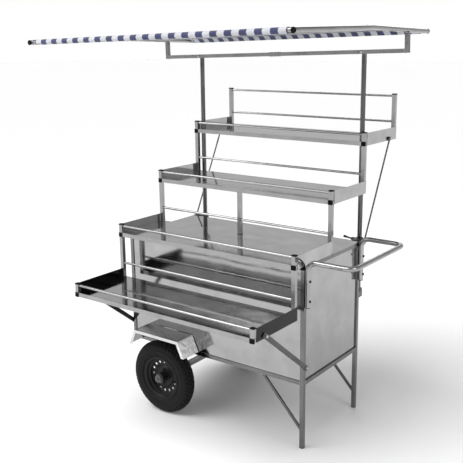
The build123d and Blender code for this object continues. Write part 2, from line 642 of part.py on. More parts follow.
for side, name in ((-1, "left"), (1, "right")):
    stud = side * POLE_X - POLE_FIT - 0.5
    with BuildPart() as lever:
        rod((stud, POLE_Y, CLAMP_TOP), (stud - 24, POLE_Y, CLAMP_TOP), 8.2)
        rod((stud - 15, POLE_Y, CLAMP_TOP), (stud - 31, POLE_Y, CLAMP_TOP), 20)
        arm = Vector(-46, 0, 7).normalized()
        base = Vector(stud - 24, POLE_Y, CLAMP_TOP)
        rod(tuple(base), tuple(base + arm * 46), 9)
        rod(tuple(base + arm * 40), tuple(base + arm * 56), 13)
    save(lever.part, f"clamp_lever_{name}")

    with BuildPart() as wing:
        rod((stud, POLE_Y, CLAMP_LOW), (stud - 22, POLE_Y, CLAMP_LOW), 8.2)
        rod((stud - 14, POLE_Y, CLAMP_LOW), (stud - 26, POLE_Y, CLAMP_LOW), 15)
        with BuildSketch(Plane.XZ.offset(-POLE_Y - 1.75)) as wings:
            with BuildLine():
                Polyline(
                    (stud - 14.5, CLAMP_LOW - 5), (stud - 22, CLAMP_LOW - WING), (stud - 33, CLAMP_LOW - WING),
                    (stud - 25.5, CLAMP_LOW), (stud - 33, CLAMP_LOW + WING), (stud - 22, CLAMP_LOW + WING),
                    (stud - 14.5, CLAMP_LOW + 5), close=True,
                )
            make_face()
            fillet(wings.vertices().group_by(Axis.X)[0], 4)
        extrude(wings.sketch, amount=3.5)
    save(wing.part, f"wing_screw_{name}")

# ======================================================================== canopy
CROSS_BOLT_R = 4.0
POLE_LIFT = POLE_X * sin(radians(TILT))


def cross_bolt_holes(lift=0.0):
    """Holes for the two bolts; lift is how much the right one is above its level place, the left one below."""
    with Locations(Plane.XZ.offset(-POLE_Y)):
        with Locations((-POLE_X, CROSS_Z - lift), (POLE_X, CROSS_Z + lift)):
            Cylinder(CROSS_BOLT_R + 0.3, 100, mode=Mode.SUBTRACT)


with BuildPart() as canopy_poles:
    for side in (-1, 1):
        x, lift = side * POLE_X, side * POLE_LIFT
        round_tube((x, POLE_Y, POLE_LOW + lift), (x, POLE_Y, CROSS_Z + HALF - 1 + lift), PIPE, PIPE_WALL)
    cross_bolt_holes(POLE_LIFT)
save(canopy_poles.part, "canopy_poles")


def pipe_height(y):
    """Height of the side pipes, which rise to a low ridge between their ends."""
    end = CANOPY_FRONT if y < CANOPY_RIDGE else CANOPY_BACK
    return CANOPY_Z + RIDGE_UP * (1 - (y - CANOPY_RIDGE) / (end - CANOPY_RIDGE))


STUB_TOP = pipe_height(CROSS_Y) - CANOPY_PIPE / 2 - 1.0

with BuildPart() as canopy_crossbar:
    edge = CANOPY_W - HALF - WELD
    for side in (-1, 1):
        square_tube((side * 9, CROSS_Y, CROSS_Z), (side * edge, CROSS_Y, CROSS_Z))
        square_tube((side * CANOPY_W, CROSS_Y, CROSS_Z - HALF), (side * CANOPY_W, CROSS_Y, STUB_TOP))
    cross_bolt_holes()
save(canopy_crossbar.part, "canopy_crossbar", TILT)

with BuildPart() as crossbar_bolts:
    front, back = CROSS_Y - HALF - 0.1, POLE_Y + PIPE / 2 + 0.1
    for x in (-POLE_X, POLE_X):
        rod((x, front - 4.5, CROSS_Z), (x, front, CROSS_Z), 14)
        rod((x, front - 1, CROSS_Z), (x, back + 7, CROSS_Z), 2 * CROSS_BOLT_R)
        hex_rod((x, back, CROSS_Z), (x, back + 6.5, CROSS_Z), 13)
    fillet(crossbar_bolts.edges().group_by(Axis.Y)[0], 2.2)
save(crossbar_bolts.part, "crossbar_bolts", TILT)

# Short sleeve that joins the two halves of the crossbar.
with BuildPart() as crossbar_sleeve:
    square_tube((-30, CROSS_Y, CROSS_Z), (30, CROSS_Y, CROSS_Z), side=TUBE + 2 * 1.5 + 0.6, wall=1.5)
save(crossbar_sleeve.part, "crossbar_sleeve", TILT)

with BuildPart() as canopy_side_pipes:
    for x in (-CANOPY_W, CANOPY_W):
        with BuildSketch(Plane.XZ.offset(-CANOPY_RIDGE)) as ridge:
            with Locations((x, CANOPY_Z + RIDGE_UP)):
                Circle(CANOPY_PIPE / 2)
                Circle(CANOPY_PIPE / 2 - PIPE_WALL, mode=Mode.SUBTRACT)
        for end in (CANOPY_FRONT, CANOPY_BACK):
            run = Vector(0, end - CANOPY_RIDGE, -RIDGE_UP)
            extrude(ridge.sketch, amount=run.length, dir=run.normalized())
save(canopy_side_pipes.part, "canopy_side_pipes", TILT)

# Pipes across the canopy at the front, the ridge and the back.
PIPE_INSET = CANOPY_PIPE / 2 + 4
with BuildPart() as canopy_cross_pipes:
    edge = CANOPY_W - CANOPY_PIPE / 2 - WELD
    for y in (CANOPY_FRONT + PIPE_INSET, CANOPY_RIDGE, CANOPY_BACK - PIPE_INSET):
        z = pipe_height(y)
        round_tube((-edge, y, z), (edge, y, z), CANOPY_PIPE, PIPE_WALL)
save(canopy_cross_pipes.part, "canopy_cross_pipes", TILT)

with BuildPart() as canopy_caps:
    for x in (-CANOPY_W, CANOPY_W):
        for end, out in ((CANOPY_FRONT, -1), (CANOPY_BACK, 1)):
            rod((x, end + out * 0.4, CANOPY_Z), (x, end + out * 5, CANOPY_Z), CANOPY_PIPE + 2)
    fillet(canopy_caps.edges(), 1.2)
save(canopy_caps.part, "canopy_caps", TILT)

# Cloth laid over the cross pipes and turned down in front of the first and behind the last.
with BuildPart() as canopy_cloth:
    lift = CANOPY_PIPE / 2 + 1.0
    drop = 14.0
    front_y, back_y = CANOPY_FRONT - 1.0, CANOPY_BACK + 1.0
    low_front = pipe_height(CANOPY_FRONT) - 2
    peak = CANOPY_Z + RIDGE_UP + lift
    ends = CANOPY_Z + lift + 1
    with BuildSketch(Plane.YZ.offset(-CLOTH_W)) as section:
        with BuildLine():
            Polyline(
                (front_y, ends - drop), (front_y, ends + CLOTH), (CANOPY_RIDGE, peak + CLOTH),
                (back_y, ends + CLOTH), (back_y, ends - drop), (back_y - CLOTH, ends - drop),
                (back_y - CLOTH, ends), (CANOPY_RIDGE, peak), (front_y + CLOTH, ends),
                (front_y + CLOTH, ends - drop), close=True,
            )
        make_face()
    extrude(section.sketch, amount=2 * CLOTH_W)
save(canopy_cloth.part, "canopy_cloth", TILT)
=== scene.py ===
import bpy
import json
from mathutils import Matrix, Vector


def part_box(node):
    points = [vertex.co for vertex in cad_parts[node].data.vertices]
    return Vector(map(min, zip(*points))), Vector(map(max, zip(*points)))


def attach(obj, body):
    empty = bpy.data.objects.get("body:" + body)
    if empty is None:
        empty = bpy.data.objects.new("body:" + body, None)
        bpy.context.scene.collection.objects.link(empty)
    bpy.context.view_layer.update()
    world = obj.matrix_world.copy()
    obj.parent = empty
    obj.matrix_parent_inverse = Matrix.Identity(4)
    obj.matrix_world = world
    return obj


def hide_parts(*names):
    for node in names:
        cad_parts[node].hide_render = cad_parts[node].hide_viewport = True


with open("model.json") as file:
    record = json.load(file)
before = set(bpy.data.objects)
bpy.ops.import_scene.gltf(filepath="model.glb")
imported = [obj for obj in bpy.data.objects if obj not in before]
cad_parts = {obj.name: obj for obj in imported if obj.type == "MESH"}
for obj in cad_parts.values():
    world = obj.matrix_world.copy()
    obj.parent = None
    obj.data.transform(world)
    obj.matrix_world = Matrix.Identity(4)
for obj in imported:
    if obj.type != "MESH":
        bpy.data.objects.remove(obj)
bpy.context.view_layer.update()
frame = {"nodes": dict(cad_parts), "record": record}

import json
import math
import random

import bmesh
import bpy
from mathutils import Matrix, Vector, noise

random.seed(11)
NEAR = 0.00001            # points closer than this are one point
NODES = frame["nodes"]
RECORD = frame["record"]
SLOT_OF = {row["node"]: row["material_slot"] for row in RECORD["subparts"]}


# ------------------------------------------------------------------ materials
def grey(level):
    return (level, level, level)


def new_material(name):
    material = bpy.data.materials.new(name)
    material.use_nodes = True
    tree = material.node_tree
    return material, tree, tree.nodes["Principled BSDF"]


def add(tree, kind, **values):
    node = tree.nodes.new(kind)
    for key, value in values.items():
        if key in node.inputs:
            node.inputs[key].default_value = value
        else:
            setattr(node, key, value)
    return node


def mapped(tree, scale):
    """Object coordinates, stretched by scale along each axis."""
    place = add(tree, "ShaderNodeTexCoord")
    stretch = add(tree, "ShaderNodeMapping")
    stretch.inputs["Scale"].default_value = scale
    tree.links.new(place.outputs["Object"], stretch.inputs["Vector"])
    return stretch.outputs["Vector"]


def noise_at(tree, vector, scale, detail, rough):
    node = add(tree, "ShaderNodeTexNoise", Scale=scale, Detail=detail, Roughness=rough)
    tree.links.new(vector, node.inputs["Vector"])
    return node.outputs["Fac"]


def ranged(tree, value, low, high, start=0.3, end=0.7):
    """A value mapped from start..end to low..high."""
    node = add(tree, "ShaderNodeMapRange")
    node.inputs["From Min"].default_value = start
    node.inputs["From Max"].default_value = end
    node.inputs["To Min"].default_value = low
    node.inputs["To Max"].default_value = high
    tree.links.new(value, node.inputs["Value"])
    return node.outputs["Result"]


def tinted(tree, value, dark, light):
    """Colour that goes from dark to light over the middle of a value's range."""
    ramp = add(tree, "ShaderNodeValToRGB")
    ramp.color_ramp.elements[0].position = 0.3
    ramp.color_ramp.elements[1].position = 0.7
    ramp.color_ramp.elements[0].color = (*dark, 1)
    ramp.color_ramp.elements[1].color = (*light, 1)
    tree.links.new(value, ramp.inputs["Fac"])
    return ramp.outputs["Color"]


def blended(tree, factor, first, second):
    """Mix of two colours; the second is another node's output or a fixed colour."""
    mix = add(tree, "ShaderNodeMix", data_type="RGBA")
    start, end = [socket for socket in mix.inputs if socket.type == "RGBA"]
    tree.links.new(factor, mix.inputs["Factor"])
    tree.links.new(first, start)
    if isinstance(second, tuple):
        end.default_value = (*second, 1)
    else:
        tree.links.new(second, end)
    return [socket for socket in mix.outputs if socket.type == "RGBA"][0]


def bumps(tree, shader, layers):
    """Chain of bump nodes: each layer is (height, distance in metres, strength)."""
    before = None
    for height, distance, strength in layers:
        node = add(tree, "ShaderNodeBump", Distance=distance, Strength=strength)
        tree.links.new(height, node.inputs["Height"])
        if before:
            tree.links.new(before, node.inputs["Normal"])
        before = node.outputs["Normal"]
    tree.links.new(before, shader.inputs["Normal"])


GRAIN_STRETCH = (30, 30, 30)
GRAIN_DEPTH = 0.00003


def metal(name, dark, light, rough, wave=0.0, wave_scale=4.0):
    """Stainless: slow waves that bend reflections, fine grain, wiped smudges in the gloss."""
    material, tree, shader = new_material(name)
    shader.inputs["Metallic"].default_value = 1.0
    even = mapped(tree, (1, 1, 1))
    smudge = noise_at(tree, even, 9.0, 5.0, 0.6)
    tree.links.new(tinted(tree, smudge, dark, light), shader.inputs["Base Color"])
    tree.links.new(ranged(tree, smudge, rough[0], rough[1]), shader.inputs["Roughness"])
    grain = noise_at(tree, mapped(tree, GRAIN_STRETCH), 22.0, 4.0, 0.7)
    layers = [(grain, GRAIN_DEPTH, 0.6)]
    if wave:
        layers.insert(0, (noise_at(tree, even, wave_scale, 2.0, 0.45), wave, 1.0))
    bumps(tree, shader, layers)
    return material


def moulded(name, dark, light, rough, depth=0.0002, scale=420.0, metallic=0.0, coat=0.0):
    """Plastic, rubber, paint or cast metal with a fine even texture and worn, dusty patches."""
    material, tree, shader = new_material(name)
    shader.inputs["Metallic"].default_value = metallic
    shader.inputs["Coat Weight"].default_value = coat
    shader.inputs["Coat Roughness"].default_value = 0.25
    even = mapped(tree, (1, 1, 1))
    patches = noise_at(tree, even, 14.0, 6.0, 0.65)
    tree.links.new(tinted(tree, patches, dark, light), shader.inputs["Base Color"])
    tree.links.new(ranged(tree, patches, rough[0], rough[1]), shader.inputs["Roughness"])
    bumps(tree, shader, [(noise_at(tree, even, scale, 3.0, 0.6), depth, 0.35)])
    return material


STRIPE_PITCH = 0.074
STRIPE_SOFT = 0.012       # softness of a stripe's edge, as a share of the pitch
THREADS = 190.0           # scale of the woven threads
CLOTH_BLUE = (0.018, 0.024, 0.085)
CLOTH_WHITE = (0.57, 0.58, 0.61)


def striped_cloth(name, middle_x):
    """Blue and white stripes across X, woven threads, slight fading."""
    material, tree, shader = new_material(name)
    shader.inputs["Sheen Weight"].default_value = 0.25
    shader.inputs["Roughness"].default_value = 0.72
    place = add(tree, "ShaderNodeTexCoord")
    split = add(tree, "ShaderNodeSeparateXYZ")
    tree.links.new(place.outputs["Object"], split.inputs["Vector"])

    def maths(kind, first, second):
        node = add(tree, "ShaderNodeMath", operation=kind)
        tree.links.new(first, node.inputs[0])
        node.inputs[1].default_value = second
        return node.outputs["Value"]

    # Distance from the nearest stripe's centre, from 0 to 0.5 of the pitch.
    turns = maths("DIVIDE", maths("SUBTRACT", split.outputs["X"], middle_x), STRIPE_PITCH)
    away = maths("PINGPONG", turns, 0.5)
    stripe = ranged(tree, away, 1.0, 0.0, 0.25 - STRIPE_SOFT, 0.25 + STRIPE_SOFT)
    faded = noise_at(tree, mapped(tree, (1, 1, 1)), 11.0, 4.0, 0.6)
    blue = tinted(tree, faded, CLOTH_BLUE, tuple(c * 1.5 for c in CLOTH_BLUE))
    white = tinted(tree, faded, tuple(c * 0.9 for c in CLOTH_WHITE), CLOTH_WHITE)
    tree.links.new(blended(tree, stripe, white, blue), shader.inputs["Base Color"])
    threads = []
    for direction in ("X", "Y"):
        wave = add(tree, "ShaderNodeTexWave", wave_type="BANDS", bands_direction=direction, Scale=THREADS)
        wave.inputs["Distortion"].default_value = 0.6
        tree.links.new(place.outputs["Object"], wave.inputs["Vector"])
        threads.append((wave.outputs["Fac"], 0.00025, 0.5))
    bumps(tree, shader, threads)
    return material


EDGE_SOFT = 0.004         # half width of the change at a plane


def across(tree, axis, edge, low, high):
    """A value that turns from low to high at a plane across an axis."""
    split = add(tree, "ShaderNodeSeparateXYZ")
    tree.links.new(mapped(tree, (1, 1, 1)), split.inputs["Vector"])
    return ranged(tree, split.outputs[axis], low, high, edge - EDGE_SOFT, edge + EDGE_SOFT)


def recoloured(material, axis, edge, low, high, colour):
    """Gives a material another base colour where the value across the plane is 1."""
    tree = material.node_tree
    target = tree.nodes["Principled BSDF"].inputs["Base Color"]
    before = target.links[0].from_socket
    tree.links.new(blended(tree, across(tree, axis, edge, low, high), before, colour), target)
    return material


def flank_painted_bright(name, dark, light, rough, edge_x, bright):
    """Stainless sheet painted pale and non-metallic beyond edge_x: a painted bright reflection on the
    fender's creased flank.
    """
    material = metal(name, dark, light, rough, 0.0025, 4.0)
    recoloured(material, "X", edge_x, 0.0, 1.0, bright)
    tree = material.node_tree
    tree.links.new(across(tree, "X", edge_x, 1.0, 0.0), tree.nodes["Principled BSDF"].inputs["Metallic"])
    return material


# Darker copy of the stainless steel: painted shade on whole nodes, and the black handle bolts.
def dark_steel(name, level):
    return metal(name, grey(level), grey(level * 1.4), (0.15, 0.25), 0.0004, 14.0)


# The canopy leans: its end over the handle is higher, turned about the middle of the crossbar.
LEAN_DEGREES = -1.45
LEAN = Matrix.Rotation(math.radians(LEAN_DEGREES), 3, "Y")
LEAN_PIVOT = Vector((-0.02175, 0.0, 1.874))


def leaned(point):
    return LEAN_PIVOT + LEAN @ (point - LEAN_PIVOT)


def levelled(point):
    return LEAN_PIVOT + LEAN.inverted() @ (point - LEAN_PIVOT)


def corners(points):
    """Lowest and highest corner of the box round some points."""
    points = list(points)
    return (Vector([min(p[k] for p in points) for k in range(3)]),
            Vector([max(p[k] for p in points) for k in range(3)]))


def level_points(node):
    """A canopy node's points as they are before the canopy leans."""
    return [levelled(v.co) for v in NODES[node].data.vertices]


CANOPY_LOW, CANOPY_HIGH = corners(level_points("canopy_cloth"))
CANOPY_X = (CANOPY_LOW.x + CANOPY_HIGH.x) / 2
FLANK_X = 0.040           # how far the fender's flank spreads along X
FENDER_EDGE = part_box("wheel_fenders")[1].x - FLANK_X

TUBE_GLOSS, MIRROR_GLOSS = (0.15, 0.25), (0.06, 0.13)     # lowest and highest roughness
NEAR_BLACK = grey(0.003), grey(0.008)
MATERIALS = {
    "stainless_tube": metal("stainless_tube", grey(0.30), grey(0.40), TUBE_GLOSS, 0.0004, 14.0),
    "mirror_sheet": metal("mirror_sheet", grey(0.34), grey(0.42), MIRROR_GLOSS, 0.0022, 3.2),
    "polished_rod": metal("polished_rod", grey(0.32), grey(0.42), (0.14, 0.20), 0.0002, 16.0),
    "bolt_steel": metal("bolt_steel", grey(0.50), grey(0.64), (0.25, 0.40)),
    "black_plastic": moulded("black_plastic", *NEAR_BLACK, (0.5, 0.65)),
    "clamp_black": moulded("clamp_black", (0.007, 0.007, 0.008), (0.016, 0.016, 0.017), (0.4, 0.55)),
    "clamp_grey": moulded("clamp_grey", (0.12, 0.12, 0.125), grey(0.24), (0.35, 0.5), 0.0003, 260.0, 0.9),
    "tyre": moulded("tyre", *NEAR_BLACK, (0.6, 0.8), 0.0004, 300.0),
    "rim": moulded("rim", *NEAR_BLACK, (0.3, 0.45), 0.0001, 200.0),
    "hub": moulded("hub", grey(0.010), grey(0.025), (0.4, 0.55), 0.0002, 240.0, 0.3),
    "bearing": metal("bearing", grey(0.35), grey(0.45), (0.2, 0.3)),
    "hub_cap": moulded("hub_cap", grey(0.07), grey(0.14), (0.35, 0.5), 0.0002, 240.0, 0.5),
    # The fender's creased flank beyond FENDER_EDGE is painted pale white: a painted bright reflection.
    "fender": flank_painted_bright("fender", grey(0.58), grey(0.68), (0.12, 0.2), FENDER_EDGE, grey(0.98)),
    "canopy_pipe": metal("canopy_pipe", grey(0.28), grey(0.36), (0.08, 0.14), 0.0002, 14.0),
    "canopy_cloth": striped_cloth("canopy_cloth", CANOPY_X),
}
for dull, shine in (("tyre", 0.22), ("rim", 0.22), ("hub", 0.22), ("black_plastic", 0.06)):
    MATERIALS[dull].node_tree.nodes["Principled BSDF"].inputs["Specular IOR Level"].default_value = shine

# Nodes that look darker than the rest of the stainless steel get darker copies of it: painted shade, except
# the handle bolts, which are black.
LOWEST_TRAY = 0.80        # only the lowest tray is below this height
TRAY_SIDE = metal("tray_side_sheet", grey(0.36), grey(0.46), MIRROR_GLOSS, 0.0022, 3.2)
SHADED = {
    # Below LOWEST_TRAY the side sheets are painted near black: painted shade on the lowest tray, under the
    # trays above.
    "tray_sides": recoloured(TRAY_SIDE, "Z", LOWEST_TRAY, 1.0, 0.0, grey(0.03)),
    "tray_struts": dark_steel("strut_steel", 0.09),
    "cart_frame": dark_steel("frame_steel", 0.15),
    "leg_braces": dark_steel("brace_steel", 0.12),
    "canopy_poles": dark_steel("pole_steel", 0.10),
    "stay_rods": dark_steel("stay_steel", 0.12),
    "handle_bolts": dark_steel("handle_bolt_steel", 0.03),
}
for node_name, node in NODES.items():
    for socket in node.material_slots:
        socket.material = SHADED.get(node_name, MATERIALS[SLOT_OF[node_name]])


# ------------------------------------------------------------------ mesh helpers
def piece(name, points, faces, slot, body, smooth=True):
    """New mesh object with a record slot's material, riding on a CAD body."""
    mesh = bpy.data.meshes.new(name)
    mesh.from_pydata(points, [], faces)
    mesh.update()
    mesh.materials.append(MATERIALS[slot])
    if smooth:
        mesh.polygons.foreach_set("use_smooth", [True] * len(mesh.polygons))
    made = bpy.data.objects.new(name, mesh)
    bpy.context.scene.collection.objects.link(made)
    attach(made, body)
    return made


def ring_faces(rings, count, first=0, closed=False):
    """Quads between successive rings of count points each."""
    faces = []
    last = rings if closed else rings - 1
    for i in range(last):
        here, there = first + i * count, first + (i + 1) % rings * count
        for j in range(count):
            k = (j + 1) % count
            faces.append((here + j, there + j, there + k, here + k))
    return faces


def face_outwards(mesh):
    """Turns every face of a closed mesh so that its normal points out."""
    work = bmesh.new()
    work.from_mesh(mesh)
    bmesh.ops.recalc_face_normals(work, faces=work.faces)
    work.to_mesh(mesh)
    work.free()


# ------------------------------------------------------------------ tyres with tread
BLOCKS = 52               # tread blocks round a tyre
# Shares of a block at which the outline is repeated, close together where a cross groove starts or ends.
STATIONS = (0.0, 0.18, 0.24, 0.44, 0.50, 0.68, 0.74, 0.94)
GROOVE = 0.0055           # depth of the grooves round the tyre
CROSS_GROOVE = GROOVE * 0.8
DRAWN_R = 0.198           # outer radius for which tyre_outline is written
CROSS_AT = {0: (0.74, 0.94), 1: (0.24, 0.44), 2: (0.74, 0.94)}    # share of a block cut away, for each row
RIB_EDGES = (0.0065, 0.0095, 0.0225, 0.0255)   # edges of the two grooves on each side of the middle


def tyre_outline(outer, half):
    """(radius, distance from the middle, tread row or None) over the outside of the tyre."""
    side = [
        (0.1050, 0.0220, None), (0.1100, 0.0263, None), (0.1170, 0.0270, None), (0.1220, 0.0315, None),
        (0.1270, 0.0345, None), (0.1280, 0.0362, None), (0.1315, 0.0372, None), (0.1327, 0.0366, None),
        (0.1485, half - 0.0004, None), (0.1500, half, None), (0.1580, half - 0.0006, None),
        (0.1592, half - 0.0016, None), (0.1690, half - 0.0040, None), (0.1702, half - 0.0035, None),
        (0.1750, half - 0.0060, None), (0.1800, 0.0332, 2), (0.1845, 0.0295, 2), (0.1878, RIB_EDGES[3], 2),
        (0.1878 - GROOVE, RIB_EDGES[3] - 0.0004, None), (0.1903 - GROOVE, RIB_EDGES[2] + 0.0004, None),
        (0.1903, RIB_EDGES[2], 1), (0.1940, 0.0160, 1), (0.1968, RIB_EDGES[1], 1),
        (0.1968 - GROOVE, RIB_EDGES[1] - 0.0004, None), (0.1976 - GROOVE, RIB_EDGES[0] + 0.0004, None),
        (0.1976, RIB_EDGES[0], 0), (0.1980, 0.0022, 0),
    ]
    scale = outer / DRAWN_R
    left = [(r * scale, -w, row) for r, w, row in side]
    right = [(r * scale, w, row) for r, w, row in reversed(side)]
    return left + right


def lowered(row, share):
    """Whether this tread row is cut by a cross groove at this share of a block."""
    if row is None:
        return False
    start, end = CROSS_AT[row]
    return start <= share <= end


for body in ("front_wheel", "rear_wheel"):
    node = body.replace("wheel", "tyre")
    low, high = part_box(node)
    centre = (low + high) / 2
    outer, half = (high.z - low.z) / 2, (high.y - low.y) / 2
    outline = tyre_outline(outer, half)
    inner = [(0.1050, 0.0140), (0.1180, 0.0190), (0.1500, half - 0.008), (0.1700, half - 0.011),
             (0.1830, half - 0.025), (0.1830, 0.025 - half), (0.1700, 0.011 - half), (0.1500, 0.008 - half),
             (0.1180, -0.0190), (0.1050, -0.0140)]
    points = []
    for block in range(BLOCKS):
        for share in STATIONS:
            angle = (block + share) / BLOCKS * math.tau
            turn = Vector((math.cos(angle), 0, math.sin(angle)))
            for radius, along, row in outline:
                cut = CROSS_GROOVE if lowered(row, share) else 0.0
                points.append(centre + turn * (radius - cut) + Vector((0, along, 0)))
            for radius, along in inner:
                points.append(centre + turn * radius + Vector((0, along, 0)))
    per_ring = len(outline) + len(inner)
    faces = ring_faces(BLOCKS * len(STATIONS), per_ring, closed=True)
    tyre = piece(f"{node}_tread", points, faces, "tyre", body)
    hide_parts(node)


# ------------------------------------------------------------------ fenders with creased flanks
CREASE = 0.0075           # depth of the deepest crease
CREASE_FADE = 0.014       # over which creases fade out towards a held edge
CREASE_CUTS = 20          # cuts in each edge of a flank
HELD_OUT = 0.002          # the outer edge and the top corner stay straight
HELD_TOP = 0.004


def creased_fenders():
    """Copy of the fenders whose flank towards the handle is creased between its held edges."""
    low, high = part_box("wheel_fenders")
    work = bmesh.new()
    work.from_mesh(NODES["wheel_fenders"].data)
    bmesh.ops.remove_doubles(work, verts=work.verts, dist=NEAR)
    flank = [e for e in work.edges if min(v.co.x for v in e.verts) > FENDER_EDGE - HELD_TOP]
    bmesh.ops.subdivide_edges(work, edges=flank, cuts=CREASE_CUTS, use_grid_fill=True)
    middle_y = (low.y + high.y) / 2
    inner = min(abs(v.co.y - middle_y) for v in work.verts)
    outer = (high.y - low.y) / 2 - HELD_OUT
    out = Vector((high.z - low.z, 0.0, high.x - FENDER_EDGE)).normalized()
    for vert in work.verts:
        spot = vert.co.copy()
        away = abs(spot.y - middle_y)
        held = min(away - inner, outer - away, high.z - HELD_TOP - spot.z)
        if spot.x < FENDER_EDGE - HELD_TOP or held <= 0:
            continue
        fade = min(1.0, held / CREASE_FADE)
        broad = noise.noise(Vector((spot.y * 30, spot.z * 34, 2.0)))
        ridged = 0.5 - abs(noise.noise(Vector((spot.y * 46, spot.z * 40, 7.0)))) * 2
        vert.co += out * CREASE * fade * (broad * 0.9 + ridged * 0.7)
    bmesh.ops.triangulate(work, faces=[f for f in work.faces if len(f.verts) > 4])
    points = [v.co.copy() for v in work.verts]
    work.verts.index_update()
    faces = [tuple(v.index for v in f.verts) for f in work.faces]
    work.free()
    return points, faces


fenders = piece("wheel_fenders_creased", *creased_fenders(), "fender", "base")
fenders.data.set_sharp_from_angle(angle=math.radians(28))
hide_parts("wheel_fenders")


# ------------------------------------------------------------------ grey plugs in the struts' open ends
PLUG_IN = 0.0006          # how far a plug stays inside the tube's outline
PLUG_T = 0.002
PLUG_PROUD = 0.0002       # how far it stands out of the tube's end


def strut_plugs():
    """A flat plug in each end of both struts, square to the strut."""
    mesh = NODES["tray_struts"].data
    spots = [v.co.copy() for v in mesh.vertices]
    pairs = [pair for face in mesh.polygons if abs(face.normal.x) < 0.01 for pair in face.edge_keys]
    runs = [spots[b] - spots[a] for a, b in pairs if abs(spots[b].x - spots[a].x) < NEAR]
    along = max(runs, key=lambda run: run.length).normalized()
    wide = along.cross(Vector((1, 0, 0)))
    low, high = corners(spots)
    points, faces = [], []
    for side in (-1, 1):
        own = [p for p in spots if (p.x - (low.x + high.x) / 2) * side > 0]
        for way in (-1, 1):
            reach = max(p.dot(along) * way for p in own)
            end = [p for p in own if p.dot(along) * way > reach - 0.0001]
            xs = (min(p.x for p in end) + PLUG_IN, max(p.x for p in end) - PLUG_IN)
            ws = (min(p.dot(wide) for p in end) + PLUG_IN, max(p.dot(wide) for p in end) - PLUG_IN)
            first = len(points)
            for depth in (reach - PLUG_T, reach + PLUG_PROUD):
                for x, w in ((xs[0], ws[0]), (xs[1], ws[0]), (xs[1], ws[1]), (xs[0], ws[1])):
                    points.append(Vector((x, 0, 0)) + wide * w + along * depth * way)
            faces += ring_faces(2, 4, first)
            faces += [tuple(first + k for k in (3, 2, 1, 0)), tuple(first + k for k in (4, 5, 6, 7))]
    return points, faces


plugs = piece("strut_end_plugs", *strut_plugs(), "clamp_grey", "base", smooth=False)
plugs.data.materials[0] = moulded("plug_grey", grey(0.10), grey(0.16), (0.5, 0.6))
face_outwards(plugs.data)


# ------------------------------------------------------------------ canopy cloth
PIPE_LOW, PIPE_HIGH = corners(level_points("canopy_cross_pipes"))
PIPE_R = 0.011
WRAP_R = PIPE_R + 0.0012  # radius of the cloth round a pipe
FRONT = (PIPE_LOW.y + PIPE_R, PIPE_LOW.z + PIPE_R)
BACK = (PIPE_HIGH.y - PIPE_R, PIPE_LOW.z + PIPE_R)
ridge_ys = [p.y for p in level_points("canopy_cross_pipes") if p.z > PIPE_HIGH.z - 0.001]
RIDGE = (sum(ridge_ys) / len(ridge_ys), PIPE_HIGH.z - PIPE_R)
CLOTH_HALF = (CANOPY_HIGH.x - CANOPY_LOW.x) / 2
SLEEVE = 0.034            # how far behind its pipe a sleeve's flap is sewn
SLEEVE_DROP = 0.0022      # how far the flap lies below the top of the wrap
FLAP_STEP = 0.004         # distance between the flap's rows of points
FLAP_ROWS = 4
SAG = 0.005               # how far the cloth sinks in the middle between two pipes
WAIST = 0.006             # how far each side edge draws in there
DROOP = 0.004             # how far each side edge hangs down there
BROAD_WAVE = 0.0022       # heights of the cloth's unevenness
FINE_WAVE = 0.0006


def arc(centre, start, end, count):
    """Points of an arc round a pipe, as (y, z), angles in degrees."""
    found = []
    for i in range(count):
        angle = math.radians(start + (end - start) * i / (count - 1))
        found.append((centre[0] + WRAP_R * math.cos(angle), centre[1] + WRAP_R * math.sin(angle)))
    return found


def span(start, end, count):
    """Points between two pipes with the sag of stretched cloth: (y, z, share of the span)."""
    found = []
    for i in range(1, count):
        t = i / count
        z = start[1] + (end[1] - start[1]) * t - SAG * 4 * t * (1 - t)
        found.append((start[0] + (end[0] - start[0]) * t, z, t))
    return found


def cloth_path():
    """The cloth from its front flap, round the front pipe, over the ridge and round the back pipe."""
    flap_z = FRONT[1] + WRAP_R - SLEEVE_DROP
    path = [(FRONT[0] + SLEEVE + FLAP_STEP * i, flap_z, 0) for i in reversed(range(FLAP_ROWS))]
    path += [(FRONT[0] + 0.026, FRONT[1] + WRAP_R - 0.005, 0), (FRONT[0] + 0.019, FRONT[1] + 0.001, 0)]
    path += [(y, z, 0) for y, z in arc(FRONT, -38, -270, 17)]
    top_front, top_back = (FRONT[0], FRONT[1] + WRAP_R), (BACK[0], BACK[1] + WRAP_R)
    lead = RIDGE[0] - 0.005, RIDGE[1] + WRAP_R
    trail = RIDGE[0] + 0.005, RIDGE[1] + WRAP_R
    path += span(top_front, lead, 34)
    path += [(*lead, 0), (RIDGE[0], RIDGE[1] + WRAP_R + 0.0002, 0), (*trail, 0)]
    path += span(trail, top_back, 30)
    path += [(y, z, 0) for y, z in arc(BACK, 90, -142, 17)]
    path += [(BACK[0] - 0.019, BACK[1] + 0.001, 0), (BACK[0] - 0.026, BACK[1] + WRAP_R - 0.005, 0)]
    flap_z = BACK[1] + WRAP_R - SLEEVE_DROP
    path += [(BACK[0] - SLEEVE - FLAP_STEP * i, flap_z, 0) for i in range(FLAP_ROWS)]
    return path


def cloth_point(share, y, z, t):
    """One point of the cloth; share runs from -1 to 1 across it."""
    free = math.sin(math.pi * t)
    x = CANOPY_X + share * (CLOTH_HALF - WAIST * free)
    broad = noise.noise(Vector((x * 9.0, y * 3.5, 4.0))) * BROAD_WAVE
    fine = noise.noise(Vector((x * 26.0, y * 6.0, 9.0))) * FINE_WAVE
    droop = DROOP * abs(share) ** 6
    return Vector((x, y, z + free * (broad + fine - droop)))


